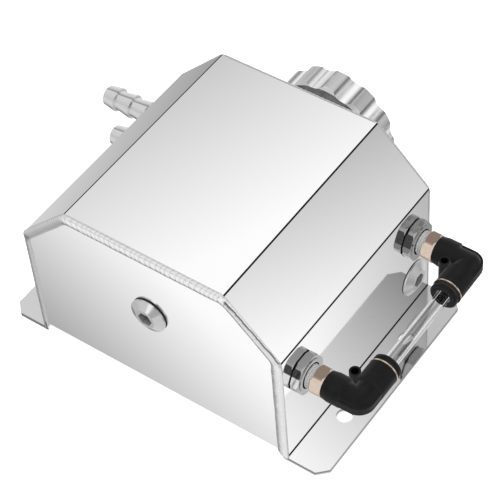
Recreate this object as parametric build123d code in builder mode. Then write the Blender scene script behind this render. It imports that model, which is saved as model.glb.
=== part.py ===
"""Coolant expansion tank, folded and welded from polished sheet, in millimetres.

The origin is the centre of the two mounting flanges, on their underside. +X is the side with
the sight gauge, +Y the end with the filler cap, and +Z points away from the mounting plane.
"""
import os
from math import pi, tan

from build123d import *

os.makedirs("parts", exist_ok=True)

# Tank body
tank_length = 110.0
tank_width = 128.0
tank_height = 88.5
top_chamfer = 25.0
sheet = 2.0
fold_outside = 0.9
fold_inside = 0.4
flange_width = 18.0
flange_corner = 4.5
back_plate_lift = 5.5

# Weld beads
bead_rise = 0.8
front_bead_wrap = 1.2
front_bead_side = 0.5
rear_bead_wrap = 0.4
rear_bead_side = 0.2
bead_reach = 3.0
bead_rounding = 0.7
ring_bead = 3.0
ring_bead_fullness = 0.55
seam_bead_width = 3.0

# Mounting holes
mount_spacing_x = 144.0
mount_spacing_y = 48.0
mount_hole_radius = 3.5

# Heights of the ports above the mounting plane, and their gaps to the end plates
upper_port_height = 45.3
lower_port_height = 20.0
drain_height = 52.5
rear_port_gap = 1.7
front_port_gap = 2.7

# Screwed ports: the bosses welded in behind the walls
port_thread_radius = 6.0
boss_radius = 9.0
boss_spigot_radius = 8.0
boss_length = 8.0

# Socket-head plugs
plug_head_radius = 8.4
plug_edge = 0.7
plug_head_height = 2.7
plug_crown_radius = 4.7
plug_socket_flats = 6.0
plug_socket_depth = 5.0
plug_shank_length = 8.0
plug_end_chamfer = 1.0
plug_clearance = 0.05
plug_ring_thickness = 0.6
plug_ring_width = 1.6
plug_ring_bulge = 0.15

# Sight gauge: adapters, brass studs and elbows
washer_thickness = 0.4
washer_radius = 8.4
adapter_flats = 17.0
adapter_corner_radius = 9.45
adapter_hex_thickness = 3.5
adapter_boss_radius = 7.4
adapter_boss_height = 0.4
adapter_shank_length = 8.2
stud_thread_radius = 4.86
stud_thread_length = 6.0
stud_bore_radius = 2.4
sealed_length = 3.1
sealant_thickness = 0.5
stud_flats = 12.0
stud_corner_radius = 6.65
stud_hex_thickness = 4.8
hex_chamfer = 0.5
spigot_radius = 3.9
spigot_length = 7.0
spigot_ring_thickness = 1.5
spigot_ring_depth = 0.9
tube_standoff = 27.0

elbow_radius = 6.4
elbow_neck_radius = 5.9
elbow_taper = 2.8
elbow_barrel_radius = 5.0
elbow_shoulder = 6.8
elbow_step = 0.6
elbow_mouth = 16.7
elbow_bore_radius = 2.0
fin_thickness = 3.6
fin_reach = 6.1
fin_corner_radius = 7.0
eyelet_radius = 2.45
eyelet_hole_radius = 1.6
eyelet_height = 11.0
eyelet_offset_x = 7.1
eyelet_offset_y = 7.7

# Sight gauge: tube and push-in mouth
tube_radius = 3.0
tube_wall = 1.0
tube_stop = 6.8
tube_end_gap = 0.1
tube_socket_clearance = 0.05
pocket_start = 9.2
pocket_radius = 4.8
tube_ring_length = 1.6
grab_ring_gap = 0.4
grab_ring_thickness = 0.4
grab_ring_slots = 8
grab_ring_slot_width = 0.7
mouth_ring_depth = 2.5
mouth_ring_radius = 5.4
mouth_ring_rim_radius = 6.5
mouth_ring_rim = 0.6
collar_travel = 0.9
collar_stop_gap = 0.1
collar_head_radius = 6.2
collar_head_length = 2.4
collar_edge = 0.5
collar_sleeve_radius = 4.0
collar_clearance = 0.08
collar_lip_radius = 4.5
collar_lip_length = 0.8
collar_lip_gap = 0.3

# Filler neck and cap
neck_radius = 22.0
neck_wall = 2.5
neck_height = 24.8
neck_rim_chamfer = 0.5
gasket_thickness = 2.0
cap_radius = 28.0
cap_height = 12.7
cap_top = 4.0
cap_clearance = 0.08
cap_foot_chamfer = 1.4
cap_top_chamfer = 0.7
cap_lobes = 12
cap_lobe_angle = 26.35
cap_flute_radius = 9.0
cap_flute_depth = 2.0
cap_land_rounding = 0.35
cap_recess_radius = 19.0
cap_recess_depth = 0.8

# Hose barbs
barb_bore_radius = 3.4
barb_root_radius = 4.5
barb_crest_radius = 5.6
barb_tip_radius = 4.7
barb_first_crest = 9.5
barb_pitch = 8.4
barb_crests = 3
barb_back = 0.5
barb_land = 0.3
barb_neck = 1.0
barb_tip_length = 6.7
barb_tip_rounding = 0.5
barb_weld = 2.0
barb_inside = 1.0

# How far a cut runs past the face that it opens
cut_margin = 1.0

# Places worked out from the sizes above
wall_x = tank_width / 2
inner_x = wall_x - sheet
end_y = tank_length / 2 - bead_rise
inner_y = end_y - sheet
rear_port_y = inner_y - boss_radius - rear_port_gap
front_port_y = boss_radius + front_port_gap - inner_y
tube_x = wall_x + tube_standoff


def axis_plane(origin, direction, across):
    """A plane at a port, with its Z along the port's axis."""
    return Plane(origin=origin, x_dir=across, z_dir=direction)


def section_plane(port):
    """The plane that holds a turned piece's section: X is the radius, Y the height."""
    return Plane(origin=port.origin, x_dir=port.x_dir, z_dir=-port.y_dir)


def turned(port, points, mode=Mode.ADD):
    """Revolve a section of (radius, height) points about a port's axis."""
    with BuildSketch(section_plane(port)) as section:
        with BuildLine():
            Polyline(*points, close=True)
        make_face()
    revolve(section.sketch, axis=Axis(port.origin, port.z_dir), mode=mode)


def turned_ring(port, inside, outside, low, high, mode=Mode.ADD):
    """Revolve a plain ring of rectangular section."""
    turned(port, [(inside, low), (outside, low), (outside, high), (inside, high)], mode)


def bored(port, radius, low, high):
    """Cut a round hole along a port's axis."""
    turned_ring(port, 0, radius, low, high, Mode.SUBTRACT)


def hex_prism(port, flats, low, high, mode=Mode.ADD):
    """Extrude a hexagon between two heights."""
    with BuildSketch(port.offset(low)) as section:
        RegularPolygon(flats / 2, 6, major_radius=False)
    extrude(section.sketch, amount=high - low, mode=mode)


def write(builder, node):
    """Label a finished piece and write it."""
    builder.part.label = node
    export_step(builder.part, f"parts/{node}.step")


gauge_port = axis_plane((wall_x, front_port_y, upper_port_height), (1, 0, 0), (0, 1, 0))
rear_gauge_port = axis_plane((wall_x, rear_port_y, upper_port_height), (1, 0, 0), (0, 1, 0))
side_port = axis_plane((wall_x, rear_port_y, lower_port_height), (1, 0, 0), (0, 1, 0))
drain_port = axis_plane((0, -end_y, drain_height), (0, -1, 0), (1, 0, 0))
filler_port = axis_plane((0, end_y, upper_port_height), (0, 1, 0), (1, 0, 0))
barb_ports = [
    axis_plane((-wall_x, rear_port_y, height), (-1, 0, 0), (0, 1, 0))
    for height in (upper_port_height, lower_port_height)
]


def body_points(inset, bottom):
    """The tank's cross-section, set in from its outer surface, as (x, z) points."""
    corner = inset * tan(pi / 8)
    side = wall_x - inset
    shoulder = tank_height - top_chamfer - corner
    top = tank_height - inset
    flat = wall_x - top_chamfer - corner
    right = [(side, bottom), (side, shoulder), (flat, top)]
    return right + [(-x, z) for x, z in reversed(right)]


def body_face(inset, bottom, corner_radius, mode=Mode.ADD):
    """Fill the cross-section, with its four upper folds rounded."""
    with BuildSketch(mode=Mode.PRIVATE) as face:
        with BuildLine():
            Polyline(*body_points(inset, bottom), close=True)
        make_face()
        upper_folds = face.vertices().sort_by(Axis.Y)[2:]
        fillet(upper_folds, corner_radius)
    add(face.sketch_local, mode=mode)


# The shell: one sheet folded round the tank and out into both flanges
with BuildPart() as tank_shell:
    with BuildSketch(Plane.XZ) as shell_section:
        body_face(0, 0, fold_outside)
        for side in (-1, 1):
            with Locations((side * (wall_x + flange_width / 2), sheet / 2)):
                Rectangle(flange_width, sheet)
        body_face(sheet, -sheet, fold_inside, Mode.SUBTRACT)
        for side in (-1, 1):
            for x, z, radius in ((wall_x, sheet, fold_inside), (inner_x, 0, fold_outside)):
                fold = shell_section.vertices().sort_by_distance((side * x, z))[0]
                fillet(fold, radius)
    extrude(amount=end_y, both=True)
    upright = tank_shell.edges().filter_by(Axis.Z).group_by(Axis.X)
    chamfer(upright[0] + upright[-1], flange_corner)
    with Locations((0, 0, sheet)):
        with GridLocations(mount_spacing_x, mount_spacing_y, 2, 2):
            Hole(mount_hole_radius, depth=sheet)
    for port in (gauge_port, rear_gauge_port, side_port):
        bored(port, boss_spigot_radius, -2 * sheet, sheet)
    for port in barb_ports:
        bored(port, barb_root_radius, -2 * sheet, sheet)
write(tank_shell, "tank_shell")


def end_plate(outward, port, hole_radius):
    """A flat plate that closes one end, set inside the folded sheet."""
    with BuildPart() as plate:
        with BuildSketch(Plane.XZ.offset(-outward * inner_y)):
            body_face(sheet, back_plate_lift, fold_inside)
        extrude(amount=-outward * sheet)
        bored(port, hole_radius, -2 * sheet, sheet)
    return plate


front_end_plate = end_plate(-1, drain_port, boss_spigot_radius)
write(front_end_plate, "front_end_plate")
rear_end_plate = end_plate(1, filler_port, neck_radius)
write(rear_end_plate, "rear_end_plate")

# The back plate: closes the tank between the side walls, above the mounting plane
with BuildPart() as back_plate:
    with Locations((0, 0, back_plate_lift)):
        Box(2 * inner_x, 2 * inner_y, sheet, align=(Align.CENTER, Align.CENTER, Align.MIN))
write(back_plate, "back_plate")


def end_bead(outward, plate, side_rise, wrap):
    """The bead over the seam between the folded sheet and an end plate."""
    foot_cut = [
        (wall_x - bead_reach, back_plate_lift),
        (wall_x + side_rise, sheet),
        (wall_x + side_rise, -sheet),
        (wall_x - bead_reach, -sheet),
    ]
    with BuildPart() as bead:
        with BuildSketch(Plane.XZ.offset(-outward * (end_y + bead_rise))) as ring:
            body_face(-side_rise, 0, fold_outside + side_rise)
            body_face(bead_reach, -sheet, fold_inside, Mode.SUBTRACT)
            for side in (-1, 1):
                with BuildLine():
                    Polyline(*[(side * x, z) for x, z in foot_cut], close=True)
                make_face(mode=Mode.SUBTRACT)
        extrude(amount=outward * (bead_rise + wrap))
        crown = bead.faces().sort_by(Axis.Y)[0 if outward < 0 else -1]
        fillet(crown.edges(), bead_rounding)
        add(tank_shell.part, mode=Mode.SUBTRACT)
        add(plate.part, mode=Mode.SUBTRACT)
    return bead


write(end_bead(-1, front_end_plate, front_bead_side, front_bead_wrap), "front_weld_bead")
write(end_bead(1, rear_end_plate, rear_bead_side, rear_bead_wrap), "rear_weld_bead")

# The beads under the back plate: fillets along the side walls, seams along the end plates
with BuildPart() as back_plate_weld_beads:
    with BuildSketch(Plane.XZ):
        for side in (-1, 1):
            with BuildLine():
                Polyline(
                    (side * inner_x, back_plate_lift),
                    (side * (inner_x - ring_bead), back_plate_lift),
                    (side * inner_x, back_plate_lift - ring_bead),
                    close=True,
                )
            make_face()
    extrude(amount=end_y - front_bead_wrap, both=True)
    with BuildSketch(Plane.YZ):
        for side in (-1, 1):
            with BuildLine():
                seam = Line(
                    (side * inner_y - seam_bead_width / 2, back_plate_lift),
                    (side * inner_y + seam_bead_width / 2, back_plate_lift),
                )
                ThreePointArc(seam @ 1, (side * inner_y, back_plate_lift - bead_rise), seam @ 0)
            make_face()
    extrude(amount=inner_x - ring_bead / 2, both=True)
write(back_plate_weld_beads, "back_plate_weld_beads")


def wall_boss(port):
    """A threaded boss behind a wall, its spigot flush with the wall's outer face."""
    with BuildPart() as boss:
        turned_ring(port, port_thread_radius, boss_spigot_radius, -sheet, 0)
        turned_ring(port, port_thread_radius, boss_radius, -sheet - boss_length, -sheet)
    return boss


def socket_plug(port):
    """A screwed plug with a coned head and a hexagon socket."""
    shank = port_thread_radius - plug_clearance
    base = plug_ring_thickness
    top = base + plug_head_height
    with BuildPart() as plug:
        turned(port, [
            (0, -plug_shank_length),
            (shank - plug_end_chamfer, -plug_shank_length),
            (shank, plug_end_chamfer - plug_shank_length),
            (shank, base),
            (plug_head_radius, base),
            (plug_head_radius, base + plug_edge),
            (plug_crown_radius, top),
            (0, top),
        ])
        hex_prism(port, plug_socket_flats, top - plug_socket_depth, top, Mode.SUBTRACT)
    return plug


def plug_ring(port):
    """The O-ring squeezed under a plug's head."""
    outside = plug_head_radius - plug_ring_bulge
    inside = outside - plug_ring_width
    middle = plug_ring_thickness / 2
    with BuildPart() as ring:
        with BuildSketch(section_plane(port)):
            with BuildLine():
                base = Line((inside, 0), (outside, 0))
                top = Line((inside, plug_ring_thickness), (outside, plug_ring_thickness))
                ThreePointArc(base @ 1, (outside + plug_ring_bulge, middle), top @ 1)
                ThreePointArc(base @ 0, (inside - plug_ring_bulge, middle), top @ 0)
            make_face()
        revolve(axis=Axis(port.origin, port.z_dir))
    return ring


for name, port in (("drain", drain_port), ("side", side_port)):
    write(wall_boss(port), f"{name}_boss")
    write(socket_plug(port), f"{name}_plug")
    write(plug_ring(port), f"{name}_plug_o_ring")


neck_bore_radius = neck_radius - neck_wall
cap_ceiling = neck_height + gasket_thickness

# The filler neck: a turned tube through the rear plate, with a fillet bead at its root
with BuildPart() as filler_neck:
    turned_ring(filler_port, neck_bore_radius, neck_radius, -sheet, neck_height)
    rim = filler_neck.faces().sort_by(Axis.Y)[-1]
    chamfer(rim.edges(), neck_rim_chamfer)
write(filler_neck, "filler_neck")


def root_bead(port, radius, size):
    """A fillet bead round the root of a tube that stands on a wall."""
    turned(port, [
        (radius, 0),
        (radius + size, 0),
        (radius + size * ring_bead_fullness, size * ring_bead_fullness),
        (radius, size),
    ])


with BuildPart() as filler_neck_weld_bead:
    root_bead(filler_port, neck_radius, ring_bead)
write(filler_neck_weld_bead, "filler_neck_weld_bead")

with BuildPart() as filler_cap_gasket:
    turned_ring(filler_port, neck_bore_radius, neck_radius, neck_height, cap_ceiling)
write(filler_cap_gasket, "filler_cap_gasket")

# The filler cap: a turned cup with flutes milled between its lands
with BuildPart() as filler_cap:
    crown = cap_ceiling + cap_top
    foot = crown - cap_height
    turned(filler_port, [
        (neck_radius + cap_clearance, foot),
        (cap_radius - cap_foot_chamfer, foot),
        (cap_radius, foot + cap_foot_chamfer),
        (cap_radius, crown - cap_top_chamfer),
        (cap_radius - cap_top_chamfer, crown),
        (cap_recess_radius, crown),
        (cap_recess_radius - cap_recess_depth, crown - cap_recess_depth),
        (0, crown - cap_recess_depth),
        (0, cap_ceiling),
        (neck_radius + cap_clearance, cap_ceiling),
    ])
    with BuildSketch(filler_port.offset(foot)) as outline:
        Circle(cap_radius)
        first_flute = cap_lobe_angle - 180 / cap_lobes
        flute_middle = cap_radius - cap_flute_depth + cap_flute_radius
        with PolarLocations(flute_middle, cap_lobes, start_angle=-first_flute):
            Circle(cap_flute_radius, mode=Mode.SUBTRACT)
        fillet(outline.vertices(), cap_land_rounding)
    extrude(amount=cap_height, mode=Mode.INTERSECT)
write(filler_cap, "filler_cap")


def hose_barb(port):
    """A turned barb whose cones widen towards the wall and drop at each crest."""
    section = [(barb_bore_radius, -sheet - barb_inside), (barb_root_radius, -sheet - barb_inside)]
    for number in range(barb_crests):
        crest = barb_first_crest + number * barb_pitch
        section += [
            (barb_root_radius, crest - barb_back),
            (barb_crest_radius, crest),
            (barb_crest_radius, crest + barb_land),
            (barb_root_radius, crest + barb_pitch - barb_neck),
        ]
    tip = crest + barb_tip_length
    section[-1] = (barb_tip_radius, tip - barb_tip_rounding)
    section += [(barb_tip_radius - barb_tip_rounding, tip), (barb_bore_radius, tip)]
    with BuildPart() as barb:
        turned(port, section)
    return barb


for name, port in zip(("upper", "lower"), barb_ports):
    write(hose_barb(port), f"{name}_hose_barb")

with BuildPart() as hose_barb_weld_beads:
    for port in barb_ports:
        root_bead(port, barb_root_radius, barb_weld)
write(hose_barb_weld_beads, "hose_barb_weld_beads")

# Heights in the gauge fittings, from the wall's outer face
adapter_face = washer_thickness + adapter_hex_thickness
sealant_base = adapter_face + adapter_boss_height
stud_end = sealant_base - stud_thread_length
stud_base = sealant_base + sealed_length
elbow_base = stud_base + stud_hex_thickness
mouth_port = axis_plane((tube_x, front_port_y, upper_port_height), (0, 1, 0), (1, 0, 0))
gauge_middle = Plane.XZ.offset(-(front_port_y + rear_port_y) / 2)


def hex_body(port, flats, corner_radius, low, high):
    """A hexagon with its corners turned off and both faces chamfered."""
    hex_prism(port, flats, low, high)
    turned(port, [
        (0, low),
        (corner_radius - hex_chamfer, low),
        (corner_radius, low + hex_chamfer),
        (corner_radius, high - hex_chamfer),
        (corner_radius - hex_chamfer, high),
        (0, high),
    ], Mode.INTERSECT)


def seal_washer():
    """The rubber washer between the wall and the adapter."""
    with BuildPart() as piece:
        turned_ring(gauge_port, port_thread_radius, washer_radius, 0, washer_thickness)
    return piece


def hex_adapter():
    """The steel adapter that screws into the wall's boss and takes the brass stud."""
    with BuildPart() as piece:
        hex_body(gauge_port, adapter_flats, adapter_corner_radius, washer_thickness, adapter_face)
        turned_ring(gauge_port, 0, adapter_boss_radius, adapter_face, sealant_base)
        turned_ring(gauge_port, 0, port_thread_radius, -adapter_shank_length, washer_thickness)
        bored(gauge_port, stud_thread_radius, stud_end, sealant_base)
        bored(gauge_port, stud_bore_radius, -adapter_shank_length, stud_end)
    return piece


def stud_sealant():
    """The thread sealant left round the stud."""
    with BuildPart() as piece:
        turned_ring(
            gauge_port, stud_thread_radius, stud_thread_radius + sealant_thickness, sealant_base, stud_base
        )
    return piece


ring_seat = elbow_base + spigot_length / 2


def brass_stud():
    """The brass stud: a thread for the adapter, a hexagon and a spigot for the elbow."""
    with BuildPart() as piece:
        hex_body(gauge_port, stud_flats, stud_corner_radius, stud_base, elbow_base)
        turned_ring(gauge_port, 0, stud_thread_radius, stud_end, stud_base)
        turned_ring(gauge_port, 0, spigot_radius, elbow_base, elbow_base + spigot_length)
        turned_ring(
            gauge_port, spigot_radius - spigot_ring_depth, spigot_radius + cut_margin,
            ring_seat, ring_seat + spigot_ring_thickness, Mode.SUBTRACT,
        )
        bored(gauge_port, stud_bore_radius, stud_end, elbow_base + spigot_length)
    return piece


def stud_o_ring():
    """The O-ring in the spigot's groove."""
    with BuildPart() as piece:
        turned_ring(
            gauge_port, spigot_radius - spigot_ring_depth, spigot_radius,
            ring_seat, ring_seat + spigot_ring_thickness,
        )
    return piece


def elbow():
    """The moulded elbow: two round arms, a flat fin round the corner and an eyelet."""
    with BuildPart() as piece:
        turned(gauge_port, [
            (0, elbow_base),
            (elbow_neck_radius, elbow_base),
            (elbow_radius, elbow_base + elbow_taper),
            (elbow_radius, tube_standoff - elbow_shoulder),
            (elbow_barrel_radius, tube_standoff - elbow_shoulder + elbow_step),
            (elbow_barrel_radius, tube_standoff),
            (0, tube_standoff),
        ])
        turned(mouth_port, [
            (0, 0),
            (elbow_barrel_radius, 0),
            (elbow_barrel_radius, elbow_shoulder - elbow_step),
            (elbow_radius, elbow_shoulder),
            (elbow_radius, elbow_mouth),
            (0, elbow_mouth),
        ])
        with Locations(mouth_port.origin):
            Sphere(elbow_barrel_radius)
        with BuildSketch(Plane(mouth_port.origin)) as fin:
            with BuildLine():
                Polyline(
                    (-elbow_shoulder - elbow_step, -fin_reach),
                    (fin_reach, -fin_reach),
                    (fin_reach, elbow_shoulder + elbow_step),
                    (0, elbow_shoulder + elbow_step),
                    (0, 0),
                    (-elbow_shoulder - elbow_step, 0),
                    close=True,
                )
            make_face()
            corner = fin.vertices().group_by(Axis.X)[-1].sort_by(Axis.Y)[0]
            fillet(corner, fin_corner_radius)
        extrude(amount=fin_thickness / 2, both=True)
        eyelet = Plane(mouth_port.origin + Vector(-eyelet_offset_x, eyelet_offset_y, 0))
        with BuildSketch(eyelet):
            Circle(eyelet_radius)
        extrude(amount=eyelet_height / 2, both=True)
        with BuildSketch(eyelet):
            Circle(eyelet_hole_radius)
        extrude(amount=eyelet_height, both=True, mode=Mode.SUBTRACT)
        bored(gauge_port, spigot_radius, elbow_base - cut_margin, elbow_base + spigot_length + tube_end_gap)
        bored(gauge_port, elbow_bore_radius, elbow_base, tube_standoff)
        with Locations(mouth_port.origin):
            Sphere(elbow_bore_radius, mode=Mode.SUBTRACT)
        bored(mouth_port, elbow_bore_radius, 0, tube_stop)
        bored(mouth_port, tube_radius + tube_socket_clearance, tube_stop, pocket_start)
        bored(mouth_port, pocket_radius, pocket_start, elbow_mouth)
        bored(mouth_port, mouth_ring_radius, elbow_mouth - mouth_ring_depth, elbow_mouth + cut_margin)
    return piece


def tube_o_ring():
    """The O-ring that seals on the tube."""
    with BuildPart() as piece:
        turned_ring(mouth_port, tube_radius, pocket_radius, pocket_start, pocket_start + tube_ring_length)
    return piece


grab_ring_base = pocket_start + tube_ring_length + grab_ring_gap


def grab_ring():
    """The slotted steel ring whose teeth hold the tube."""
    with BuildPart() as piece:
        turned_ring(
            mouth_port, tube_radius, pocket_radius, grab_ring_base, grab_ring_base + grab_ring_thickness
        )
        tooth_length = (pocket_radius - tube_radius) / 2
        with BuildSketch(mouth_port.offset(grab_ring_base)):
            with PolarLocations(tube_radius, grab_ring_slots):
                Rectangle(2 * tooth_length, grab_ring_slot_width)
        extrude(amount=grab_ring_thickness, mode=Mode.SUBTRACT)
    return piece


ring_bore = collar_sleeve_radius + collar_clearance
ring_inner_end = elbow_mouth - mouth_ring_depth
ring_face = elbow_mouth + mouth_ring_rim
collar_nose = ring_inner_end - collar_lip_gap - collar_lip_length
collar_head = ring_face + collar_travel + collar_stop_gap
collar_face = collar_head + collar_head_length


def mouth_ring():
    """The brass ring pressed into the elbow's mouth."""
    with BuildPart() as piece:
        turned(mouth_port, [
            (ring_bore, ring_inner_end),
            (mouth_ring_radius, ring_inner_end),
            (mouth_ring_radius, elbow_mouth),
            (mouth_ring_rim_radius, elbow_mouth),
            (mouth_ring_rim_radius, ring_face),
            (ring_bore, ring_face),
        ])
    return piece


def release_collar():
    """The collar that is pushed in to free the tube."""
    bore = tube_radius + collar_clearance
    with BuildPart() as piece:
        turned(mouth_port, [
            (bore, collar_nose),
            (collar_lip_radius, collar_nose),
            (collar_lip_radius, collar_nose + collar_lip_length),
            (collar_sleeve_radius, collar_nose + collar_lip_length),
            (collar_sleeve_radius, collar_head),
            (collar_head_radius - collar_edge, collar_head),
            (collar_head_radius, collar_head + collar_edge),
            (collar_head_radius, collar_face - collar_edge),
            (collar_head_radius - collar_edge, collar_face),
            (bore + collar_edge, collar_face),
            (bore, collar_face - collar_edge),
        ])
    return piece


gauge_pieces = {
    "gauge_seal_washer": seal_washer(),
    "gauge_adapter": hex_adapter(),
    "stud_sealant": stud_sealant(),
    "brass_stud": brass_stud(),
    "stud_o_ring": stud_o_ring(),
    "gauge_elbow": elbow(),
    "tube_o_ring": tube_o_ring(),
    "grab_ring": grab_ring(),
    "mouth_ring": mouth_ring(),
    "release_collar": release_collar(),
    "gauge_boss": wall_boss(gauge_port),
}
for name, piece in gauge_pieces.items():
    write(piece, f"front_{name}")
    with BuildPart() as mirrored:
        add(mirror(piece.part, about=gauge_middle, mode=Mode.PRIVATE))
    write(mirrored, f"rear_{name}")

# The sight tube: clear tube pushed into both elbows
with BuildPart() as sight_tube:
    tube_base = tube_stop + tube_end_gap
    tube_end = rear_port_y - front_port_y - tube_base
    turned_ring(mouth_port, tube_radius - tube_wall, tube_radius, tube_base, tube_end)
write(sight_tube, "sight_tube")
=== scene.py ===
"""Looks of the coolant expansion tank: finishes, rippled weld beads, thread sealant, studio and camera."""
import math
import random

import bpy
from mathutils import Matrix, Vector, noise


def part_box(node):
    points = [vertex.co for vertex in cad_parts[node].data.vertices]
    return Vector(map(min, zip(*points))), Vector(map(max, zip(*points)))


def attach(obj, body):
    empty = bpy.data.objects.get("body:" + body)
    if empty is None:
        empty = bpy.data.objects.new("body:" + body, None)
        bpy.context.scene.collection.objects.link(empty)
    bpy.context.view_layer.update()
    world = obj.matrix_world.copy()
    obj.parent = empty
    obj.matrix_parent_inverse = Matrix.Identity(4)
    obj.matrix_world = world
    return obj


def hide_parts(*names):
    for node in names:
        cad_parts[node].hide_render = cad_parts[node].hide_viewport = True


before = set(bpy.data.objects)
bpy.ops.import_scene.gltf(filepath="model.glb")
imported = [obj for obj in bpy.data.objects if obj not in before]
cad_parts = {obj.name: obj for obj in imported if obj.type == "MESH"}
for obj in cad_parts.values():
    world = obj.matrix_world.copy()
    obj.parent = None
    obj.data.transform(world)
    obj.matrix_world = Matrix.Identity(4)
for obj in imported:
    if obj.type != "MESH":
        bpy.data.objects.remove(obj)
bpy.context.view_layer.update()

MM = 0.001

# Sizes of the tank that its fold lines and beads follow
SHEET = 2 * MM
TOP_CHAMFER = 25 * MM
PLATE_LIFT = 5.5 * MM
FLANGE_CORNER = 4.5 * MM
MOUNT_HOLE_X = 72 * MM
MOUNT_HOLE_Y = 24 * MM

# Sizes of the smaller pieces that finishes, beads and sealant follow
PLUG_SOCKET_RADIUS = 3 * MM
STUD_THREAD_RADIUS = 4.86 * MM
STUD_THREAD_PITCH = 1 * MM
EYELET_BORE = 1.6 * MM
EYELET_OFFSET_X = 7.1 * MM
EYELET_OFFSET_Y = 7.7 * MM
CAP_FLUTE_RADIUS = 26 * MM
CAP_LAND_RADIUS = 28 * MM
NECK_RADIUS = 22 * MM
NECK_BEAD = 3 * MM

shell_low, shell_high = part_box("tank_shell")
plate_low, plate_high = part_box("front_end_plate")
WALL_X = plate_high.x + SHEET
TOP_Z = shell_high.z
SHOULDER_Z = TOP_Z - TOP_CHAMFER
SHOULDER_X = WALL_X - TOP_CHAMFER
END_Y = shell_high.y
FLANGE_X = shell_high.x

WHITE = (1.0, 1.0, 1.0)
POLISHED = 0.93
PLASTIC_SPECULAR = 0.15


class Nodes:
    """Writes shader nodes: every call adds one node and gives back its output."""

    def __init__(self, tree):
        self.tree = tree
        tree.nodes.clear()

    def add(self, kind, inputs, output=0, **settings):
        node = self.tree.nodes.new(kind)
        for name, value in settings.items():
            setattr(node, name, value)
        for name, value in inputs.items():
            if isinstance(value, bpy.types.NodeSocket):
                self.tree.links.new(value, node.inputs[name])
            else:
                node.inputs[name].default_value = value
        return node.outputs[output]

    def math(self, operation, a, b=0.0):
        return self.add("ShaderNodeMath", {0: a, 1: b}, operation=operation)

    def vector(self, operation, a, b=(0.0, 0.0, 0.0), output=0):
        return self.add("ShaderNodeVectorMath", {0: a, 1: b}, output, operation=operation)

    def ramp(self, value, low, high, start=0.0, end=1.0):
        """An eased change from start to end while the value goes from low to high."""
        inputs = {"Value": value, "From Min": low, "From Max": high, "To Min": start, "To Max": end}
        return self.add("ShaderNodeMapRange", inputs, interpolation_type="SMOOTHSTEP", clamp=True)

    def root_of_squares(self, a, b):
        return self.math("SQRT", self.math("ADD", self.math("MULTIPLY", a, a), self.math("MULTIPLY", b, b)))

    def mix(self, factor, a, b):
        """Mix two colours."""
        node = self.tree.nodes.new("ShaderNodeMix")
        node.data_type = "RGBA"
        for index, value in ((0, factor), (6, a), (7, b)):
            if isinstance(value, bpy.types.NodeSocket):
                self.tree.links.new(value, node.inputs[index])
            else:
                node.inputs[index].default_value = value
        return node.outputs[2]

    def place(self):
        """A point's place on the object, in metres."""
        return self.add("ShaderNodeTexCoord", {}, output="Object")

    def parts(self, vector):
        node = self.tree.nodes.new("ShaderNodeSeparateXYZ")
        self.tree.links.new(vector, node.inputs[0])
        return node.outputs

    def stretched(self, vector, x, y, z):
        return self.vector("MULTIPLY", vector, (x, y, z))

    def lit(self, colour, level):
        return self.add("ShaderNodeVectorMath", {0: colour, "Scale": level}, operation="SCALE")

    def noise(self, vector, scale, detail=3.0, roughness=0.5):
        inputs = {"Vector": vector, "Scale": scale, "Detail": detail, "Roughness": roughness}
        return self.add("ShaderNodeTexNoise", inputs, output="Fac")

    def tone(self):
        """The painted light and shade that a modelled bead or paste carries at each point, as a brightness.
        """
        return self.add("ShaderNodeAttribute", {}, output="Fac", attribute_name="tone")

    def facing(self, direction):
        """How squarely a face looks along a direction of the object."""
        normal = self.add("ShaderNodeNewGeometry", {}, output="True Normal")
        return self.vector("DOT_PRODUCT", normal, direction, output="Value")

    def angle_about(self, axis):
        """Which way a rounded face looks about the x or y axis, in radians from straight up."""
        x, y, z = self.parts(self.add("ShaderNodeNewGeometry", {}, output="Normal"))
        return self.math("ARCTAN2", x if axis == "Y" else self.math("MULTIPLY", y, -1.0), z)

    def bump(self, height, distance):
        return self.add("ShaderNodeBump", {"Height": height, "Distance": distance, "Strength": 1.0})

    def finish(self, inputs):
        """Close the material with its Principled shader."""
        self.add_output(self.add("ShaderNodeBsdfPrincipled", inputs))

    def add_output(self, shader, kind="ShaderNodeOutputMaterial"):
        output = self.tree.nodes.new(kind)
        self.tree.links.new(shader, output.inputs["Surface"])


def new_material(name):
    material = bpy.data.materials.new(name)
    material.use_nodes = True
    return material, Nodes(material.node_tree)


def grey(value):
    return (value, value, value, 1.0)


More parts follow.
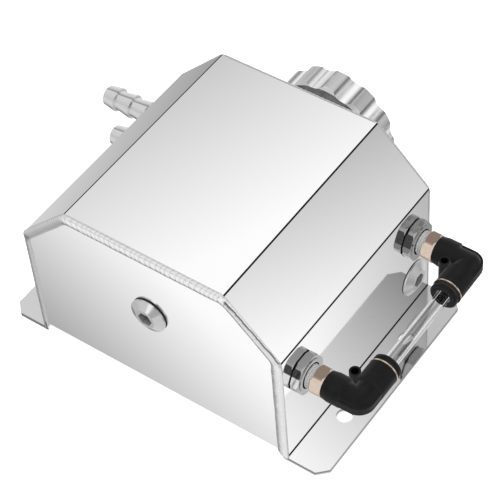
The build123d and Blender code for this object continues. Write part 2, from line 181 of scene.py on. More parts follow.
def polished_sheet(name, folds):
    """Mirror-polished sheet: duller cut edges and hole walls, their grey partly painted shade and painted
    lighter along the bottom towards the right, and a dark line of painted shade along each fold, an (x, z,
    half width).
    """
    material, n = new_material(name)
    place = n.place()
    cloud = n.noise(place, 45.0, 2.0)
    grain = n.noise(n.stretched(place, 1.0, 0.08, 1.0), 2600.0, 2.0)
    roughness = n.ramp(cloud, 0.3, 0.7, 0.035, 0.06)
    colour = grey(POLISHED)
    if folds:
        x, y, z = n.parts(place)
        side = n.math("ABSOLUTE", x)
        end = n.math("ABSOLUTE", y)
        corner = n.math("ADD", side, end)
        # Painted shade: cut edges and the flange's hole walls are painted grey, lighter along the bottom
        # towards the right; they are also rougher, as a cut face is.
        limits = ((side, FLANGE_X), (end, END_Y), (corner, FLANGE_X + END_Y - FLANGE_CORNER))
        cut_edges_and_shade = 0.0
        for value, limit in limits:
            cut_edges_and_shade = n.math("MAXIMUM", cut_edges_and_shade, n.ramp(value, limit - 0.12 * MM, limit - 0.04 * MM))
        upright = n.ramp(n.math("ABSOLUTE", n.facing((0.0, 0.0, 1.0))), 0.6, 0.4)
        on_flange = n.ramp(side, WALL_X + MM, WALL_X + 2 * MM)
        cut_edges_and_shade = n.math("MAXIMUM", cut_edges_and_shade, n.math("MULTIPLY", upright, on_flange))
        # Painted shade: a near-black line along each fold stands in for the dark reflection in the bend.
        line = 0.0
        for fold_x, fold_z, half in folds:
            away = n.root_of_squares(n.math("SUBTRACT", x, fold_x), n.math("SUBTRACT", z, fold_z))
            line = n.math("MAXIMUM", line, n.ramp(away, half, half * 1.25, 1.0, 0.0))
        lit_below = n.math("MULTIPLY", n.ramp(z, 1.0 * MM, 0.7 * MM), n.ramp(x, -WALL_X, WALL_X))
        edge = n.mix(lit_below, grey(0.3), grey(0.75))
        colour = n.mix(line, n.mix(cut_edges_and_shade, grey(POLISHED), edge), grey(0.015))
        roughness = n.math("MAXIMUM", roughness, n.math("MULTIPLY", n.math("MAXIMUM", line, cut_edges_and_shade), 0.4))
    n.finish({
        "Base Color": colour,
        "Metallic": 1.0,
        "Roughness": roughness,
        "Normal": n.bump(grain, 0.0004 * MM),
    })
    return material


def weld_metal(name, with_painted_shading):
    """Satin weld metal, slightly mottled; a modelled bead brings its own painted light and shade."""
    material, n = new_material(name)
    place = n.place()
    mottle = n.noise(place, 700.0, 4.0, 0.6)
    fine = n.noise(place, 3500.0, 3.0)
    colour = n.mix(n.ramp(mottle, 0.35, 0.65), grey(0.95), grey(1.0))
    shade = n.tone() if with_painted_shading else 0.8
    n.finish({
        "Base Color": n.lit(colour, shade),
        "Metallic": 1.0,
        "Roughness": n.ramp(mottle, 0.3, 0.7, 0.28, 0.36),
        "Normal": n.bump(fine, 0.001 * MM),
    })
    return material


def turned_metal(name, level, axis, centre, roughness, bands=(), socket=0.0):
    """
    Lathe-turned metal: fine rings about an axis, which runs along x or y. A band is painted reflection:
    it has its angle about the axis and its half width in degrees, and its share of the brightness. A socket
    is its hexagon's inner radius; inside it the metal is painted dark and not metallic, as shade.
    """
    material, n = new_material(name)
    place = n.place()
    along = n.parts(place)["XYZ".index(axis)]
    offset = n.vector("SUBTRACT", place, centre)
    outward = n.vector("MULTIPLY", offset, [0.0 if a == axis else 1.0 for a in "XYZ"])
    radius = n.vector("LENGTH", outward, output="Value")
    spiral = n.add("ShaderNodeCombineXYZ", {"X": n.math("ADD", along, radius)})
    tool_marks = n.noise(spiral, 5200.0, 2.0)
    cloud = n.noise(place, 160.0, 2.0)
    shade, metal = level, 1.0
    # Painted reflection: each band brightens or darkens the metal by which way it faces about the axis.
    if bands:
        turn = n.angle_about(axis)
        for middle, half, share in bands:
            off = n.math("ABSOLUTE", n.math("SUBTRACT", turn, math.radians(middle)))
            band = n.ramp(off, math.radians(half * 0.5), math.radians(half * 1.5), share, 1.0)
            shade = n.math("MULTIPLY", shade, band)
    # Painted shade: the socket's floor and walls are painted darker and not metallic.
    if socket:
        along_axis = n.math("ABSOLUTE", n.facing([1.0 if a == axis else 0.0 for a in "XYZ"]))
        walls = n.math("MULTIPLY", n.ramp(radius, socket * 1.2, socket * 1.17), n.ramp(along_axis, 0.6, 0.4))
        painted_socket_shade = n.math("MAXIMUM", n.ramp(radius, socket * 0.99, socket * 0.97), walls)
        shade = n.math("MULTIPLY", shade, n.ramp(painted_socket_shade, 0.0, 1.0, 1.0, 0.4))
        metal = n.math("SUBTRACT", 1.0, painted_socket_shade)
    n.finish({
        "Base Color": n.lit(WHITE, shade),
        "Metallic": metal,
        "Roughness": n.ramp(cloud, 0.3, 0.7, roughness, roughness + 0.08),
        "Normal": n.bump(tool_marks, 0.0012 * MM),
    })
    return material


def fluted_metal(centre):
    """The filler cap: satin, with painted light down the middle of each flute, and painted shade along the
    edges of the flutes and on the cap's underside.
    """
    material, n = new_material("fluted_metal")
    place = n.place()
    offset = n.vector("MULTIPLY", n.vector("SUBTRACT", place, centre), (1.0, 0.0, 1.0))
    radius = n.vector("LENGTH", offset, output="Value")
    cloud = n.noise(place, 160.0, 2.0)
    # Painted reflection: bright down each flute's middle, dimmer towards its edges and on the lands; faces
    # looking along the axis are 0.75, and faces looking towards -y get painted shade.
    flute = n.ramp(radius, CAP_FLUTE_RADIUS + 0.1 * MM, CAP_FLUTE_RADIUS + 1.2 * MM, 1.0, 0.34)
    land = n.ramp(radius, CAP_LAND_RADIUS - 0.75 * MM, CAP_LAND_RADIUS - 0.25 * MM, 0.0, 0.26)
    upright = n.ramp(n.math("ABSOLUTE", n.facing((0.0, 1.0, 0.0))), 0.5, 0.3)
    painted_flute_light = n.math("ADD", n.math("MULTIPLY", upright, n.math("ADD", flute, land)),
                   n.math("MULTIPLY", n.math("SUBTRACT", 1.0, upright), 0.75))
    painted_underside_shade = n.ramp(n.facing((0.0, -1.0, 0.0)), 0.85, 0.95, 1.0, 0.3)
    n.finish({
        "Base Color": n.lit(WHITE, n.math("MULTIPLY", painted_flute_light, painted_underside_shade)),
        "Metallic": 1.0,
        "Roughness": n.ramp(cloud, 0.3, 0.7, 0.24, 0.3),
    })
    return material


def plated_steel(name, adapter, top, shaded_from, below):
    """Plated steel, its flats painted with reflected light and shade: even grey on an adapter's top flat,
    speckled and painted dark high on the flats beside it, even grey again below.
    """
    material, n = new_material(name)
    place = n.place()
    low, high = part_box(adapter)
    middle = (low + high) / 2
    half = (high.z - low.z) / 2
    _, y, z = n.parts(n.vector("SUBTRACT", place, tuple(middle)))
    outside = n.ramp(n.root_of_squares(y, z), half * 0.8, half * 0.85)
    speckle = n.noise(place, 1300.0, 3.0, 0.75)
    cloud = n.noise(place, 300.0, 2.0)
    # Painted reflection: each flat's grey is set by which way it faces, darker looking down, mid grey looking
    # along x, dark and speckled high on the slanted flats.
    up = n.facing((0.0, 0.0, 1.0))
    across = n.math("ABSOLUTE", n.facing((1.0, 0.0, 0.0)))
    speckled_shade = n.mix(n.ramp(speckle, 0.6, 0.7), grey(0.06), grey(0.22))
    slanted = n.mix(n.ramp(z, half * shaded_from, half * (shaded_from + 0.04)), grey(below), speckled_shade)
    is_slanted = n.ramp(n.math("ABSOLUTE", n.math("SUBTRACT", up, 0.5)), 0.06, 0.03)
    flat_shade = n.mix(n.ramp(up, -0.6, -0.3), grey(0.32), grey(0.5))
    flats = n.mix(n.math("MULTIPLY", outside, is_slanted), flat_shade, slanted)
    flats = n.mix(n.math("MULTIPLY", outside, n.ramp(up, 0.97, 0.99)), flats, grey(top))
    n.finish({
        "Base Color": n.mix(n.ramp(across, 0.5, 0.8), flats, grey(0.42)),
        "Metallic": 1.0,
        "Roughness": n.ramp(cloud, 0.3, 0.7, 0.14, 0.24),
        "Normal": n.bump(speckle, 0.0008 * MM),
    })
    return material


def pale_brass(name, ring):
    """Brass with a thin nickel wash, its light and shade painted by facing: a ring's ends are painted near
    black as shade and its rim darker facing back; a hexagon is painted brown on top and darker low down.
    """
    material, n = new_material(name)
    place = n.place()
    cloud = n.noise(place, 500.0, 3.0)
    brushed = n.noise(n.stretched(place, 0.06, 1.0, 1.0), 4200.0, 2.0)
    pale = n.mix(n.ramp(cloud, 0.3, 0.7), (0.73, 0.585, 0.485, 1), (0.79, 0.64, 0.535, 1))
    if ring:
        # Painted shade: the ring's end faces near black, its rim dark brown where it faces back.
        forward = n.facing((0.0, -1.0, 0.0))
        rim = n.mix(n.ramp(forward, -0.25, 0.1), (0.29, 0.21, 0.165, 1), pale)
        colour = n.mix(n.ramp(n.math("ABSOLUTE", forward), 0.6, 0.8), rim, (0.03, 0.024, 0.02, 1))
    else:
        # Painted light and shade: the hexagon's top flat brown, its flats looking down darker, the rest pale.
        up = n.facing((0.0, 0.0, 1.0))
        flats = n.mix(n.ramp(up, -0.3, 0.2), (0.37, 0.305, 0.28, 1), pale)
        colour = n.mix(n.ramp(up, 0.75, 0.9), flats, (0.29, 0.215, 0.175, 1))
    n.finish({
        "Base Color": colour,
        "Metallic": 1.0,
        "Roughness": n.ramp(brushed, 0.3, 0.7, 0.2, 0.3),
        "Normal": n.bump(brushed, 0.0008 * MM),
    })
    return material


def black_plastic(name, eyelet):
    """Moulded black plastic with a fine grain; the bore about an elbow's eyelet has its gloss taken away, as
    painted shade.
    """
    material, n = new_material(name)
    place = n.place()
    specular = PLASTIC_SPECULAR
    # Painted shade: no specular inside the eyelet's bore.
    if eyelet:
        offset = n.vector("MULTIPLY", n.vector("SUBTRACT", place, eyelet), (1.0, 1.0, 0.0))
        radius = n.vector("LENGTH", offset, output="Value")
        specular = n.ramp(radius, EYELET_BORE + 0.02 * MM, EYELET_BORE + 0.1 * MM, 0.0, PLASTIC_SPECULAR)
    grain = n.noise(place, 2400.0, 3.0, 0.6)
    cloud = n.noise(place, 220.0, 3.0)
    n.finish({
        "Base Color": n.mix(n.ramp(cloud, 0.3, 0.75), grey(0.0035), grey(0.007)),
        "Roughness": n.ramp(grain, 0.3, 0.7, 0.36, 0.46),
        "Specular IOR Level": specular,
        "Normal": n.bump(grain, 0.01 * MM),
    })
    return material


def black_rubber():
    """Plain matte rubber."""
    material, n = new_material("black_rubber")
    grain = n.noise(n.place(), 1800.0, 2.0)
    n.finish({
        "Base Color": n.mix(n.ramp(grain, 0.3, 0.7), grey(0.006), grey(0.012)),
        "Roughness": n.ramp(grain, 0.3, 0.7, 0.55, 0.7),
        "Normal": n.bump(grain, 0.01 * MM),
    })
    return material


def clear_tube(middle_x):
    """Clear soft tube, with a painted grey streak of reflected shade along its upper side, painted grey
    outlines on faces that look along one fixed direction, and faint drawing lines.
    """
    material, n = new_material("clear_tube")
    place = n.place()
    lines = n.noise(n.stretched(place, 1.0, 0.02, 1.0), 1500.0, 2.0)
    # Painted shade: a grey streak along the tube, and grey on faces looking along one fixed direction as its
    # outline.
    across = n.math("SUBTRACT", n.parts(place)[0], middle_x)
    streak = n.math("MULTIPLY", n.ramp(across, -1.6 * MM, -1.0 * MM), n.ramp(across, 0.1 * MM, -0.5 * MM))
    clear = n.mix(n.ramp(lines, 0.35, 0.65), grey(0.95), grey(0.99))
    outline = n.ramp(n.math("ABSOLUTE", n.facing((0.877, 0.0, -0.481))), 0.9, 0.98)
    n.finish({
        "Base Color": n.mix(outline, n.mix(streak, clear, grey(0.6)), grey(0.7)),
        "Transmission Weight": 1.0,
        "Roughness": 0.0,
        "IOR": 1.08,
        "Specular IOR Level": 0.3,
    })
    return material


def thread_sealant():
    """White sealant paste, darkened by the painted shade that a modelled paste carries in its grooves."""
    material, n = new_material("thread_sealant")
    lumps = n.noise(n.place(), 1500.0, 3.0, 0.6)
    colour = n.mix(n.ramp(lumps, 0.35, 0.65), grey(0.5), grey(0.66))
    n.finish({
        "Base Color": n.lit(colour, n.tone()),
        "Roughness": n.ramp(lumps, 0.3, 0.7, 0.3, 0.5),
        "Normal": n.bump(lumps, 0.02 * MM),
    })
    return material


def dress(node, material):
    """Give a CAD node its material."""
    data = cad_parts[node].data
    data.materials.clear()
    data.materials.append(material)


def centre_of(node):
    low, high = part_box(node)
    return tuple((low + high) / 2)


# Each fold of the shell: where it runs along the tank, and half the width of its dark line of painted shade
SHELL_FOLDS = [
    (SHOULDER_X, TOP_Z, 0.37 * MM),
    (WALL_X, SHOULDER_Z, 0.44 * MM),
    (WALL_X, SHEET, 0.34 * MM),
    (-SHOULDER_X, TOP_Z, 0.36 * MM),
    (-WALL_X, SHOULDER_Z, 0.3 * MM),
    (-WALL_X, SHEET, 0.3 * MM),
]
plain_sheet = polished_sheet("polished_plate", [])
dress("tank_shell", polished_sheet("polished_sheet", SHELL_FOLDS))
for node in ("front_end_plate", "rear_end_plate", "back_plate"):
    dress(node, plain_sheet)
plain_weld = weld_metal("weld_metal", False)
for node in ("back_plate_weld_beads", "hose_barb_weld_beads"):
    dress(node, plain_weld)

# Painted bands of reflected light and shade that the photograph shows on the drain plug and along the barbs
DRAIN_PLUG_BANDS = [(16, 7, 1.5), (40, 12, 0.66), (-75, 45, 0.8)]
BARB_BANDS = [(7, 4, 0.5), (-20, 14, 1.25)]
for node, axis in (("filler_neck", "Y"), ("drain_boss", "Y"), ("side_boss", "X"),
                   ("front_gauge_boss", "X"), ("rear_gauge_boss", "X")):
    dress(node, turned_metal("turned_" + node, 0.8, axis, centre_of(node), 0.12))
dress("drain_plug", turned_metal("turned_drain_plug", 0.6, "Y", centre_of("drain_plug"), 0.16,
                                 DRAIN_PLUG_BANDS, PLUG_SOCKET_RADIUS))
dress("side_plug", turned_metal("turned_side_plug", 0.66, "X", centre_of("side_plug"), 0.3,
                                [], PLUG_SOCKET_RADIUS))
for node in ("upper_hose_barb", "lower_hose_barb"):
    dress(node, turned_metal("turned_" + node, 0.68, "X", centre_of(node), 0.27, BARB_BANDS))
dress("filler_cap", fluted_metal(centre_of("filler_cap")))

brass = pale_brass("pale_brass", False)
ring_brass = pale_brass("ring_brass", True)
plastic = black_plastic("black_plastic", None)
rubber = black_rubber()
tube_x = centre_of("sight_tube")[0]
for end, towards, top, shaded_from, below in (("front", 1, 0.38, 0.5, 0.8), ("rear", -1, 0.5, 0.3, 0.22)):
    adapter = f"{end}_gauge_adapter"
    steel = plated_steel(f"{end}_plated_steel", adapter, top, shaded_from, below)
    eyelet = (tube_x - EYELET_OFFSET_X, centre_of(adapter)[1] + towards * EYELET_OFFSET_Y, 0.0)
    dress(f"{end}_gauge_elbow", black_plastic(f"{end}_elbow_plastic", eyelet))
    for piece, material in (("gauge_adapter", steel), ("grab_ring", steel), ("brass_stud", brass),
                            ("mouth_ring", ring_brass), ("release_collar", plastic),
                            ("gauge_seal_washer", rubber), ("stud_o_ring", rubber), ("tube_o_ring", rubber)):
        dress(f"{end}_{piece}", material)
for node in ("drain_plug_o_ring", "side_plug_o_ring", "filler_cap_gasket"):
    dress(node, rubber)
dress("sight_tube", clear_tube(tube_x))


def smooth_step(value, low, high):
    share = min(max((value - low) / (high - low), 0.0), 1.0)
    return share * share * (3 - 2 * share)


def bell(value, middle, width):
    return math.exp(-((value - middle) / width) ** 2)


def grain_at(x, y, seed):
    """Smooth noise between about -1 and 1."""
    return noise.noise(Vector((x, y, seed)))


def skin(name, rows, closed, material, node):
    """A piece through rows of (point, painted shading), each row running once round its section."""
    width = len(rows[0])
    count = len(rows)
    faces = []
    for row in range(count if closed else count - 1):
        ahead = (row + 1) % count
        for column in range(width):
            across = (column + 1) % width
            faces.append((row * width + column, row * width + across,
                          ahead * width + across, ahead * width + column))
    if not closed:
        faces.append(tuple(reversed(range(width))))
        faces.append(tuple(range((count - 1) * width, count * width)))
    mesh = bpy.data.meshes.new(name)
    mesh.from_pydata([point for row in rows for point, _ in row], [], faces)
    painted_shadings = mesh.attributes.new("tone", "FLOAT", "POINT")
    painted_shadings.data.foreach_set("value", [tone for row in rows for _, tone in row])
    mesh.polygons.foreach_set("use_smooth", [True] * len(faces))
    mesh.materials.append(material)
    piece = bpy.data.objects.new(name, mesh)
    bpy.context.scene.collection.objects.link(piece)
    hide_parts(node)
    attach(piece, "tank")
    return piece


class Ripples:
    """The overlapping lobes that a welder leaves along a bead, each of its own length and height."""

    def __init__(self, length, pitch_at, seed):
        chance = random.Random(seed)
        margin = 6 * MM
        self.starts = [-margin]
        while self.starts[-1] < length + margin:
            pitch = pitch_at(self.starts[-1])
            self.starts.append(self.starts[-1] + pitch * chance.uniform(0.78, 1.22))
        self.heights = [chance.uniform(0.6, 1.0) for _ in self.starts]

    def at(self, along):
        """(height from 0 to 1, depth of the valley from 0 to 1) at a distance along the bead."""
        low, high = 0, len(self.starts) - 1
        while high - low > 1:
            middle = (low + high) // 2
            if self.starts[middle] > along:
                high = middle
            else:
                low = middle
        share = (along - self.starts[low]) / (self.starts[high] - self.starts[low])
        off = abs(2 * share - 1)
        return (1 - off ** 2.5) * self.heights[low], off ** 4


CORNER_TURN = math.tan(math.pi / 8)
BEAD_STEP = 0.25 * MM
BEAD_COLUMNS = 30
RING_COLUMNS = 12
BEND_ROUNDING = 2.2 * MM

# Each run of an end bead: lobe length, lobe height, reach over the plate, rise, wrap over the
# sheet, how far it stands beyond the sheet, lumps, painted brightness, and painted shade on the sheet's side
RUN_VALUES = ("pitch", "ripple", "reach", "rise", "wrap", "side", "lumps", "tone", "rim")
FRONT_RUNS = [
    (4.0, 0.01, 3.2, 0.40, 0.2, 0.03, 0.01, 0.62, 0.0),
    (1.8, 0.15, 3.9, 1.15, 1.2, 0.55, 0.0, 0.66, 0.15),
    (2.4, 0.13, 4.3, 1.35, 1.2, 0.60, 0.0, 0.97, 0.15),
    (2.2, 0.00, 3.4, 0.90, 1.1, 0.45, 0.04, 1.00, 0.0),
    (0.85, 0.07, 4.4, 1.00, 1.1, 0.50, 0.01, 0.92, 0.1),
]
REAR_RUNS = [(2.2, 0.1, 3.0, 0.9, 0.4, 0.2, 0.0, 0.85, 0.35)] * 5


def run_values(runs, bends, along):
    """The values of a bead at a distance along it, eased from run to run round each bend."""
    values = list(runs[0])
    for bend, following in zip(bends, runs[1:]):
        share = smooth_step(along, bend - 3.5 * MM, bend + 3.5 * MM)
        values = [(1 - share) * a + share * b for a, b in zip(values, following)]
    return dict(zip(RUN_VALUES, values))


def end_outline(out, reach, side):
    """The corners, from foot to foot, of the tank's outline set out by a distance."""
    inward = min(max((side - out) / (side + reach), 0.0), 1.0)
    turn = out * CORNER_TURN
    half = [(WALL_X + out, SHOULDER_Z + turn), (SHOULDER_X + turn, TOP_Z + out)]
    left_foot = (-WALL_X - out, 0.5 * MM + inward * (PLATE_LIFT - SHEET))
    right_foot = (WALL_X + out, SHEET + inward * (PLATE_LIFT - SHEET))
    return [left_foot] + [(-x, z) for x, z in half] + half[::-1] + [right_foot]


def outline_point(corners, run, share, lengths):
    """A point on an outline whose bends are rounded."""
    start, finish = Vector(corners[run]), Vector(corners[run + 1])
    here = start.lerp(finish, share)
    along = share * lengths[run]
    for bend, distance in ((run, along), (run + 1, along - lengths[run])):
        if 0 < bend < len(corners) - 1 and abs(distance) < BEND_ROUNDING:
            corner = Vector(corners[bend])
            before = corner + (Vector(corners[bend - 1]) - corner).normalized() * BEND_ROUNDING
            after = corner + (Vector(corners[bend + 1]) - corner).normalized() * BEND_ROUNDING
            part = 0.5 + 0.5 * distance / BEND_ROUNDING
            here = (1 - part) ** 2 * before + 2 * part * (1 - part) * corner + part ** 2 * after
    return here


def bead_section(share, value):
    """(out, over) of a bead's section and its direction there, from the sheet's side to the plate."""
    roll = 0.3
    if share < roll:
        angle = math.pi / 2 * (share / roll - 1)
        place = Vector((value["side"] * math.cos(angle), value["wrap"] * math.sin(angle)))
        away = Vector((math.cos(angle) / value["side"], math.sin(angle) / value["wrap"]))
    else:
        angle = math.pi * (share - roll) / (1 - roll)
        half = (value["side"] + value["reach"]) / 2
        place = Vector((value["side"] - half + half * math.cos(angle), value["rise"] * math.sin(angle)))
        away = Vector((math.cos(angle) / half, math.sin(angle) / value["rise"]))
    return place * MM, away.normalized()


def crack_at(along, bends, torn, seed):
    """How open the crack of the torn run is at a distance along the bead, and where it lies across it."""
    if torn is None:
        return 0.0, 0.0
    start, finish = bends[torn - 1], bends[torn]
    crack = smooth_step(along, start + 1 * MM, start + 3 * MM)
    crack *= 1 - smooth_step(along, finish - 1.5 * MM, finish + 0.5 * MM)
    drift = min(max((along - start) / (finish - start), 0.0), 1.0)
    line = 0.46 - 0.2 * drift + 0.08 * grain_at(along / MM / 3.5, 9.0, seed)
    line += 0.04 * grain_at(along / MM, 12.0, seed)
    return crack, line


def end_bead(node, outward, runs, torn, seed):
    """The bead round an end of the tank; torn is the run that carries an open crack."""
    middle = end_outline(-MM, 3 * MM, 0.5 * MM)
    lengths = [(Vector(b) - Vector(a)).length for a, b in zip(middle, middle[1:])]
    bends = [sum(lengths[:bend]) for bend in range(1, len(lengths))]
    total = sum(lengths)
    ripples = Ripples(total, lambda along: run_values(runs, bends, along)["pitch"] * MM, seed)
    rows = []
    for run, length in enumerate(lengths):
        steps = round(length / BEAD_STEP)
        for step in range(steps + (run == len(lengths) - 1)):
            share = step / steps
            along = sum(lengths[:run]) + share * length
            value = run_values(runs, bends, along)
            millimetres = along / MM
            blob = bell(along, bends[2] + 1.5 * MM, 3 * MM) if torn is not None else 0.0
            value["reach"] *= 1 + 0.05 * grain_at(millimetres / 9, 0.0, seed)
            value["rise"] *= 1 + 0.08 * grain_at(millimetres / 6, 5.0, seed) + 0.15 * blob
            value["lumps"] += 0.16 * blob
            crack, crack_line = crack_at(along, bends, torn, seed)
            slit = 1 - smooth_step(along, 2 * MM, 5 * MM) if torn is not None else 0.0
            row = []
            for column in range(BEAD_COLUMNS):
                across = column / (BEAD_COLUMNS - 1)
                place, away = bead_section(across, value)
                crown = math.sin(math.pi * across)
                height, valley = ripples.at(along + 1.3 * MM * crown)
                lump = grain_at(millimetres / 0.9, across * 5, seed + 3)
                gap = max(crack * bell(across, crack_line, 0.08), slit * bell(across, 0.6, 0.06))
                lift = value["ripple"] * height * crown + value["lumps"] * lump * crown - 0.25 * gap
                place = place + away * lift * MM
                # Painted shade: valleys between lobes, dips in the blob, both edges, the rim, beyond the
                # crack line and the open slit are darkened; a run's own level is painted brightness.
                valley *= (0.75 - 0.48 * value["tone"]) * min(value["ripple"] * 9, 1) * crown
                tone = value["tone"] * (1 - valley) * (1 - 0.6 * blob * smooth_step(-lump, 0.12, 0.4))
                tone *= 1 - min(value["side"] * 1.2, 0.66) * bell(across, 0.08, 0.07)
                tone *= 1 - 0.14 * smooth_step(across, 0.7, 0.95)
                tone *= 1 - value["rim"] * (1 - smooth_step(across, 0.25, 0.5))
                tone *= 1 - crack * 0.18 * smooth_step(across, crack_line, crack_line + 0.1)
                tone *= 1 - 0.97 * gap
                point = outline_point(end_outline(place.x, value["reach"] * MM, value["side"] * MM),
                                      run, share, lengths)
                row.append(((point.x, outward * (END_Y + place.y), point.y), min(max(tone, 0.02), 1.0)))
            rows.append(row if outward < 0 else row[::-1])
    return skin(node + "_ripples", rows, False, weld_ripples, node)


def ring_bead(centre, axis, across, radius, size, pitch, seed):
    """Rows of a rippled fillet bead round the root of a tube."""
    axis, across = Vector(axis), Vector(across)
    third = axis.cross(across)
    length = 2 * math.pi * radius
    steps = round(length / BEAD_STEP)
    ripples = Ripples(length, lambda along: pitch, seed)
    rows = []
    for step in range(steps):
        angle = 2 * math.pi * step / steps
        along = length * step / steps
        out = across * math.cos(angle) + third * math.sin(angle)
        row = []
        for column in range(RING_COLUMNS):
            share = column / (RING_COLUMNS - 1)
            crown = math.sin(math.pi * share)
            height, valley = ripples.at(along + 0.4 * pitch * crown)
            lift = size * (0.12 + 0.07 * height) * crown
            flat = size * (1 - share) + lift
            tall = size * share + lift
            point = Vector(centre) + out * (radius - 0.2 * MM + flat) + axis * (tall - 0.1 * MM)
            # Painted shade: the valleys between lobes are darkened, and the root row is painted darker where
            # the bead meets the tube.
            row.append((tuple(point), 0.9 * (1 - 0.3 * valley * crown)))
        root = Vector(centre) + out * (radius - 0.4 * MM) - axis * 0.3 * MM
        row.append((tuple(root), 0.5))
        rows.append(row)
    return rows


def sealed_thread(end):
    """The sealant round a stud: the thread's ridges show through it, ragged at the adapter."""
    node = f"{end}_stud_sealant"
    low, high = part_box(node)
    middle = (low + high) / 2
    steps, columns = 90, 26
    core = STUD_THREAD_RADIUS - 0.16 * MM
    seed = 3.0 if end == "front" else 8.0
    rows = []
    for step in range(steps):
        angle = 2 * math.pi * step / steps
        row = []
        for column in range(columns):
            share = column / (columns - 1)
            place = low.x + share * (high.x - low.x)
            turns = (place - low.x) / STUD_THREAD_PITCH + step / steps
            ridge = abs(2 * (turns % 1) - 1)
            lump = grain_at(3 * math.cos(angle) + share * 4, 3 * math.sin(angle), seed)
            ragged = bell(share, 0.0, 0.16) * (0.35 + lump)
            radius = STUD_THREAD_RADIUS + (0.05 + 0.3 * ridge + 0.08 * lump + 0.3 * max(ragged, 0.0)) * MM
            point = (place, middle.y + radius * math.cos(angle), middle.z + radius * math.sin(angle))
            # Painted shade: the grooves between the thread's ridges are darker than the ridges, and the
            # closing rows are painted at 0.6.
            row.append((point, 0.55 + 0.45 * ridge))
        for place in (high.x, low.x):
            point = (place, middle.y + core * math.cos(angle), middle.z + core * math.sin(angle))
            row.append((point, 0.6))
        rows.append(row[::-1])
    return skin(node + "_paste", rows, True, sealant, node)


weld_ripples = weld_metal("weld_ripples", True)
sealant = thread_sealant()
end_bead("front_weld_bead", -1, FRONT_RUNS, 3, 11.0)
end_bead("rear_weld_bead", 1, REAR_RUNS, None, 23.0)
neck_root = (0.0, END_Y, centre_of("filler_neck")[2])
neck_rows = ring_bead(neck_root, (0, 1, 0), (1, 0, 0), NECK_RADIUS, NECK_BEAD, 2.2 * MM, 31.0)
skin("neck_bead_ripples", neck_rows, True, weld_ripples, "filler_neck_weld_bead")
pastes = [sealed_thread(end) for end in ("front", "rear")]

# The photograph's polished wall and flange mirror the adapters and nothing else of the fittings
for piece in pastes:
    piece.visible_glossy = False
for node in ("side_plug", "side_plug_o_ring", "sight_tube", "upper_hose_barb", "lower_hose_barb",
             "hose_barb_weld_beads", "front_gauge_seal_washer", "rear_gauge_seal_washer"):
    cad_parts[node].visible_glossy = False
for end in ("front", "rear"):
    for node in ("gauge_elbow", "release_collar", "mouth_ring", "brass_stud", "grab_ring", "stud_o_ring",
                 "tube_o_ring"):
        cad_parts[f"{end}_{node}"].visible_glossy = False

# The studio: what each polished face reflects, as cards on the sky. A card has its direction, its
# brightness there, how that brightness changes across it, and its inner and outer radius in degrees.
SKY_LEVEL = 0.95
CARDS = [
    ((-0.443, 0.528, 0.724), 0.874, (3.03, -0.76, 3.55), 12, 17),
    ((0.752, 0.538, 0.381), 0.777, (3.79, -1.9, -3.6), 11, 16),
    ((-0.708, 0.51, -0.489), 0.513, (3.47, -2.48, -4.63), 10, 17),
    ((-0.436, -0.448, -0.78), 0.767, (1.76, -9.48, 2.1), 10, 18),
    ((0.36, 0.526, -0.771), 0.813, (3.25, -4.6, -0.69), 11, 17),
    ((0.34, 0.485, 0.805), 0.76, (1.5, -6.5, 2.0), 9, 14),
    ((-0.31, 0.54, 0.783), 0.54, (0.0, 0.0, 0.0), 2.5, 4),
    ((-0.492, 0.42, 0.762), 0.65, (0.0, 0.0, 0.0), 1.6, 2.8),
    ((-0.39, 0.48, -0.785), 0.3, (0.0, 0.0, 0.0), 6, 11),
    ((-0.5, -0.8, 0.33), 0.42, (0.0, 0.0, 0.0), 6, 16),
    ((0.2, -0.94, 0.28), 1.3, (0.0, 0.0, 0.0), 5, 12),
    ((0.52, -0.74, -0.42), 0.5, (0.0, 0.0, 0.0), 8, 18),
]

# Dark gaps between the cards, as turns about the length of the tank: angle, half width and depth
GAPS = [(-74, 20, 0.3), (28, 16, 0.45), (112, 22, 0.6), (-148, 20, 0.7)]


def build_sky():
    world = bpy.data.worlds.new("studio")
    world.use_nodes = True
    n = Nodes(world.node_tree)
    direction = n.add("ShaderNodeTexCoord", {}, output="Generated")
    x, y, z = n.parts(direction)
    turn = n.math("ARCTAN2", x, z)
    fade = n.ramp(y, -0.75, -0.35)
    level = SKY_LEVEL
    for angle, half, depth in GAPS:
        off = n.math("ABSOLUTE", n.math("SUBTRACT", turn, math.radians(angle)))
        off = n.math("MINIMUM", off, n.math("SUBTRACT", 2 * math.pi, off))
        dark = n.ramp(off, math.radians(half * 0.25), math.radians(half), depth, 0.0)
        level = n.math("MULTIPLY", level, n.math("SUBTRACT", 1.0, n.math("MULTIPLY", dark, fade)))
    for towards, centre_level, change, inner, outer in CARDS:
        towards = Vector(towards).normalized()
        change = Vector(change)
        change -= change.dot(towards) * towards
        value = centre_level
        if change.length:
            here = n.vector("DOT_PRODUCT", direction, tuple(change), output="Value")
            value = n.math("MINIMUM", n.math("MAXIMUM", n.math("ADD", here, centre_level), 0.2), 1.05)
        facing = n.vector("DOT_PRODUCT", direction, tuple(towards), output="Value")
        share = n.ramp(facing, math.cos(math.radians(outer)), math.cos(math.radians(inner)))
        level = n.math("ADD", n.math("MULTIPLY", level, n.math("SUBTRACT", 1.0, share)),
                       n.math("MULTIPLY", value, share))
    seen = n.add("ShaderNodeLightPath", {}, output="Is Camera Ray")
    shown = n.mix(seen, n.add("ShaderNodeCombineXYZ", {0: level, 1: level, 2: level}), grey(1.0))
    n.add_output(n.add("ShaderNodeBackground", {"Color": shown}), "ShaderNodeOutputWorld")
    bpy.context.scene.world = world


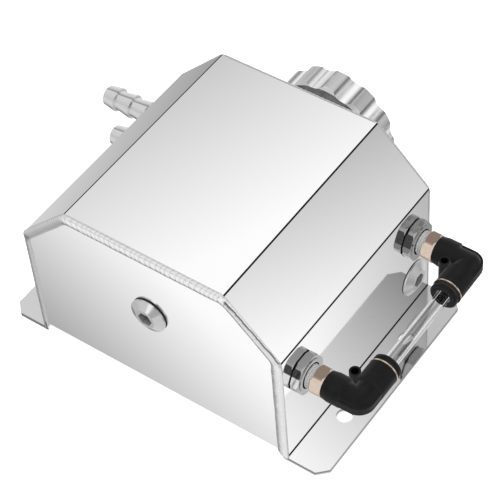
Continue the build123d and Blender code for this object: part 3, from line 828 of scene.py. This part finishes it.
def fill_mirrored_holes():
    """Discs that only reflections see: the wall and flange mirror no open holes."""
    flat, upright = (0, 0, 0), (0, math.pi / 2, 0)
    _, side_y, side_z = centre_of("side_boss")
    spots = [((WALL_X + 0.05 * MM, side_y, side_z), 6.2 * MM, upright)]
    for y in (-MOUNT_HOLE_Y, MOUNT_HOLE_Y):
        spots.append(((MOUNT_HOLE_X, y, SHEET - 0.02 * MM), 3.6 * MM, flat))
    for end in ("front", "rear"):
        node = f"{end}_gauge_adapter"
        _, y, z = centre_of(node)
        spots.append(((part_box(node)[1].x + 0.03 * MM, y, z), 5.9 * MM, upright))
    for place, radius, turned in spots:
        bpy.ops.mesh.primitive_circle_add(vertices=32, radius=radius, fill_type="NGON", location=place,
                                          rotation=turned)
        disc = bpy.context.object
        disc.name = "mirrored_hole"
        disc.data.materials.append(plain_sheet)
        disc.visible_camera = False
        disc.visible_shadow = False
        disc.visible_diffuse = False
        disc.visible_transmission = False


def build_floor():
    bpy.ops.mesh.primitive_plane_add(size=6.0, location=(0, 0, -0.2 * MM))
    floor = bpy.context.object
    floor.name = "floor"
    floor.visible_glossy = False
    floor.visible_transmission = True
    material, n = new_material("floor_white")
    seen = n.add("ShaderNodeLightPath", {}, output="Is Camera Ray")
    n.finish({
        "Base Color": grey(0.9),
        "Roughness": 0.9,
        "Specular IOR Level": 0.0,
        "Emission Color": grey(1.0),
        "Emission Strength": n.math("MULTIPLY", seen, 0.55),
    })
    floor.data.materials.append(material)


def build_lamps():
    lamp = bpy.data.lights.new("soft_key", "AREA")
    lamp.shape = "DISK"
    lamp.size = 0.5
    lamp.energy = 3.0
    key = bpy.data.objects.new("soft_key", lamp)
    key.location = (0.15, -0.25, 0.9)
    key.rotation_mode = "QUATERNION"
    key.rotation_quaternion = (Vector((0, 0, 0.04)) - key.location).to_track_quat("-Z", "Y")
    key.visible_glossy = False
    bpy.context.scene.collection.objects.link(key)


def build_camera():
    """The photograph's viewpoint, solved from the tank's corners."""
    camera = bpy.data.cameras.new("camera")
    camera.sensor_width = 36.0
    camera.lens = 134.14
    camera.clip_start = 0.05
    camera.clip_end = 20.0
    seat = bpy.data.objects.new("camera", camera)
    right = Vector((0.81588661, 0.57505321, -0.06035597))
    down = Vector((0.40320396, -0.64065056, -0.65344734))
    forward = Vector((-0.41443408, 0.50880317, -0.75456194))
    turn = Matrix((right, -down, -forward)).transposed().to_4x4()
    seat.matrix_world = Matrix.Translation((0.331396, -0.394073, 0.629488)) @ turn
    bpy.context.scene.collection.objects.link(seat)
    bpy.context.scene.camera = seat


build_sky()
fill_mirrored_holes()
build_floor()
build_lamps()
build_camera()
bpy.context.scene.view_settings.view_transform = "Standard"
